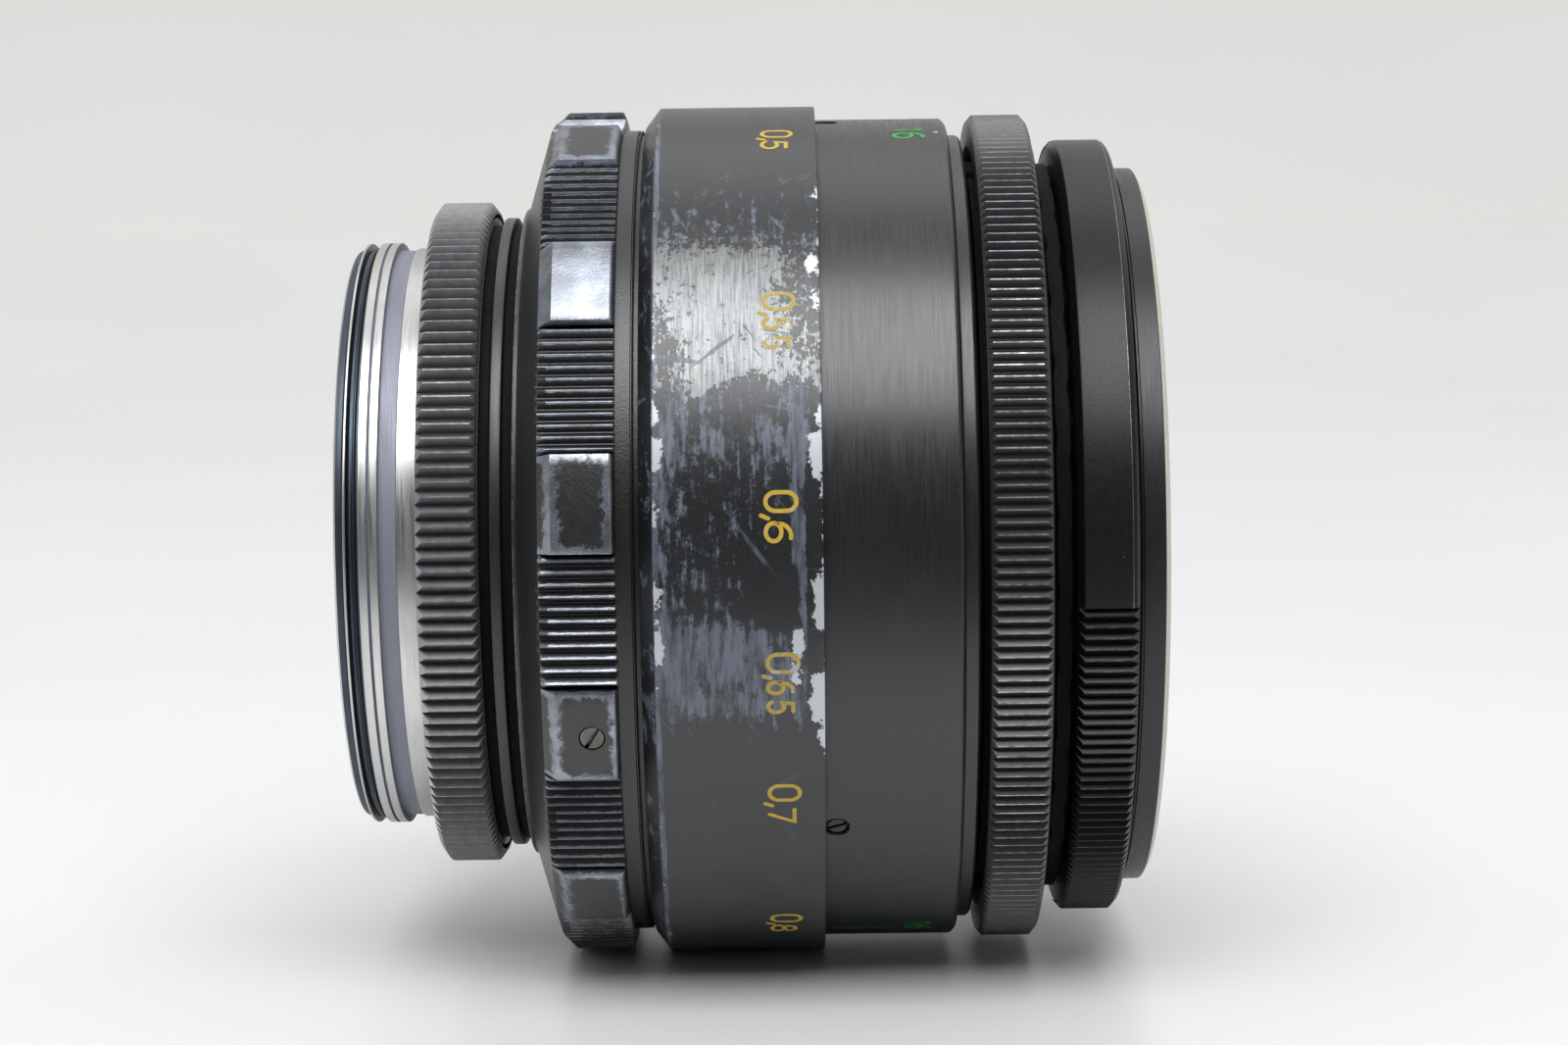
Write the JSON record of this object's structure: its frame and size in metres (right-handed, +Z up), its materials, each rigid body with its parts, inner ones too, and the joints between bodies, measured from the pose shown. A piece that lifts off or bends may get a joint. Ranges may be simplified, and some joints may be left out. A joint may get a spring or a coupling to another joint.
{
  "type": "camera lens",
  "caption": "Screw-mount prime camera lens with a scalloped focusing grip, a distance scale sleeve, a sprung preset ring, an aperture ring, an iris and coated glass elements.",
  "frame": {"origin": "on the table, under the middle of the lens, which lies on its distance scale sleeve", "axes": "+X along the optical axis towards the front element, +Z up, so +Y points away from a viewer who sees the mount on the left"},
  "size_m": [0.0556, 0.0602, 0.0602],
  "materials": {
    "black_anodised_aluminium": "satin black anodised, worn to bare metal at the edges",
    "matt_black_aluminium": "matt black anodised",
    "bare_aluminium": "machined bare",
    "brass": "machined",
    "steel": "machined",
    "iris_steel": "blackened",
    "coated_glass": "polished, single layer anti-reflection coating"
  },
  "bodies": {
    "mount": {"mount_thread_tube": "bare_aluminium", "rear_knurled_ring": "black_anodised_aluminium", "fixed_guide_tube": "black_anodised_aluminium", "guide_key_1": "brass", "guide_key_2": "brass", "guide_key_screw_1": "steel", "guide_key_screw_2": "steel"},
    "focus_ring": {"focus_grip_ring": "black_anodised_aluminium", "distance_scale_sleeve": "black_anodised_aluminium", "helicoid_nut": "brass", "grip_set_screw_1": "steel", "grip_set_screw_2": "steel", "grip_set_screw_3": "steel"},
    "barrel": {"lens_tube": "bare_aluminium", "front_barrel_shell": "black_anodised_aluminium", "barrel_screw_1": "steel", "barrel_screw_2": "steel", "barrel_screw_3": "steel", "front_housing": "matt_black_aluminium", "filter_rim": "black_anodised_aluminium", "front_cell": "matt_black_aluminium", "front_spacer_ring": "matt_black_aluminium", "front_retaining_ring": "matt_black_aluminium", "front_element": "coated_glass", "front_crown_element": "coated_glass", "front_flint_element": "coated_glass", "rear_cell": "matt_black_aluminium", "rear_flint_element": "coated_glass", "rear_crown_element": "coated_glass", "rear_element": "coated_glass", "rear_spacer_ring": "matt_black_aluminium", "rear_retaining_ring": "matt_black_aluminium", "preset_notch_ring": "brass", "iris_base_ring": "matt_black_aluminium"},
    "preset_sleeve": {"preset_sleeve": "matt_black_aluminium", "preset_wave_spring": "steel"},
    "preset_ring": {"preset_ring": "black_anodised_aluminium"},
    "aperture_ring": {"aperture_ring": "black_anodised_aluminium", "aperture_drive_pin": "steel", "aperture_link_sleeve": "matt_black_aluminium", "iris_drive_ring": "matt_black_aluminium"},
    "iris_blade_1": {"iris_blade_1": "iris_steel"},
    "iris_blade_2": {"iris_blade_2": "iris_steel"},
    "iris_blade_3": {"iris_blade_3": "iris_steel"},
    "iris_blade_4": {"iris_blade_4": "iris_steel"},
    "iris_blade_5": {"iris_blade_5": "iris_steel"},
    "iris_blade_6": {"iris_blade_6": "iris_steel"},
    "iris_blade_7": {"iris_blade_7": "iris_steel"},
    "iris_blade_8": {"iris_blade_8": "iris_steel"}
  },
  "joints": [
    {"name": "focus_turn", "type": "hinge", "parent": "mount", "child": "focus_ring", "pos_m": [0, 0, 0.03011], "axis": [1, 0, 0], "range_deg": [-113, 166.5]},
    {"name": "barrel_slide", "type": "slide", "parent": "mount", "child": "barrel", "axis": [1, 0, 0], "range_m": [-0.00364, 0.00536]},
    {"name": "preset_turn", "type": "hinge", "parent": "barrel", "child": "preset_sleeve", "pos_m": [0, 0, 0.03011], "axis": [1, 0, 0], "range_deg": [-42, 42]},
    {"name": "preset_pull", "type": "slide", "parent": "preset_sleeve", "child": "preset_ring", "axis": [1, 0, 0], "range_m": [0, 0.0012], "stiffness_N_per_m": 400, "springref_m": -0.002, "deforming": ["preset_wave_spring"]},
    {"name": "aperture_turn", "type": "hinge", "parent": "barrel", "child": "aperture_ring", "pos_m": [0, 0, 0.03011], "axis": [1, 0, 0], "range_deg": [-42, 42]},
    {"name": "iris_blade_1_pivot", "type": "hinge", "parent": "barrel", "child": "iris_blade_1", "pos_m": [-0.00538, 0.0171, 0.03011], "axis": [1, 0, 0], "range_deg": [-15.5, 15.5]},
    {"name": "iris_blade_2_pivot", "type": "hinge", "parent": "barrel", "child": "iris_blade_2", "pos_m": [-0.00516, 0.01209, 0.04221], "axis": [1, 0, 0], "range_deg": [-15.5, 15.5]},
    {"name": "iris_blade_3_pivot", "type": "hinge", "parent": "barrel", "child": "iris_blade_3", "pos_m": [-0.00494, 0, 0.04721], "axis": [1, 0, 0], "range_deg": [-15.5, 15.5]},
    {"name": "iris_blade_4_pivot", "type": "hinge", "parent": "barrel", "child": "iris_blade_4", "pos_m": [-0.00472, -0.01209, 0.04221], "axis": [1, 0, 0], "range_deg": [-15.5, 15.5]},
    {"name": "iris_blade_5_pivot", "type": "hinge", "parent": "barrel", "child": "iris_blade_5", "pos_m": [-0.0045, -0.0171, 0.03011], "axis": [1, 0, 0], "range_deg": [-15.5, 15.5]},
    {"name": "iris_blade_6_pivot", "type": "hinge", "parent": "barrel", "child": "iris_blade_6", "pos_m": [-0.00428, -0.01209, 0.01802], "axis": [1, 0, 0], "range_deg": [-15.5, 15.5]},
    {"name": "iris_blade_7_pivot", "type": "hinge", "parent": "barrel", "child": "iris_blade_7", "pos_m": [-0.00406, 0, 0.01301], "axis": [1, 0, 0], "range_deg": [-15.5, 15.5]},
    {"name": "iris_blade_8_pivot", "type": "hinge", "parent": "barrel", "child": "iris_blade_8", "pos_m": [-0.00384, 0.01209, 0.01802], "axis": [1, 0, 0], "range_deg": [-15.5, 15.5]}
  ],
  "couplings": [
    {"joint": "barrel_slide", "follows": "focus_turn", "m_per_rad": 0.001842},
    {"joint": "iris_blade_1_pivot", "follows": "aperture_turn", "ratio": 0.3631},
    {"joint": "iris_blade_2_pivot", "follows": "aperture_turn", "ratio": 0.3631},
    {"joint": "iris_blade_3_pivot", "follows": "aperture_turn", "ratio": 0.3631},
    {"joint": "iris_blade_4_pivot", "follows": "aperture_turn", "ratio": 0.3631},
    {"joint": "iris_blade_5_pivot", "follows": "aperture_turn", "ratio": 0.3631},
    {"joint": "iris_blade_6_pivot", "follows": "aperture_turn", "ratio": 0.3631},
    {"joint": "iris_blade_7_pivot", "follows": "aperture_turn", "ratio": 0.3631},
    {"joint": "iris_blade_8_pivot", "follows": "aperture_turn", "ratio": 0.3631}
  ]
}
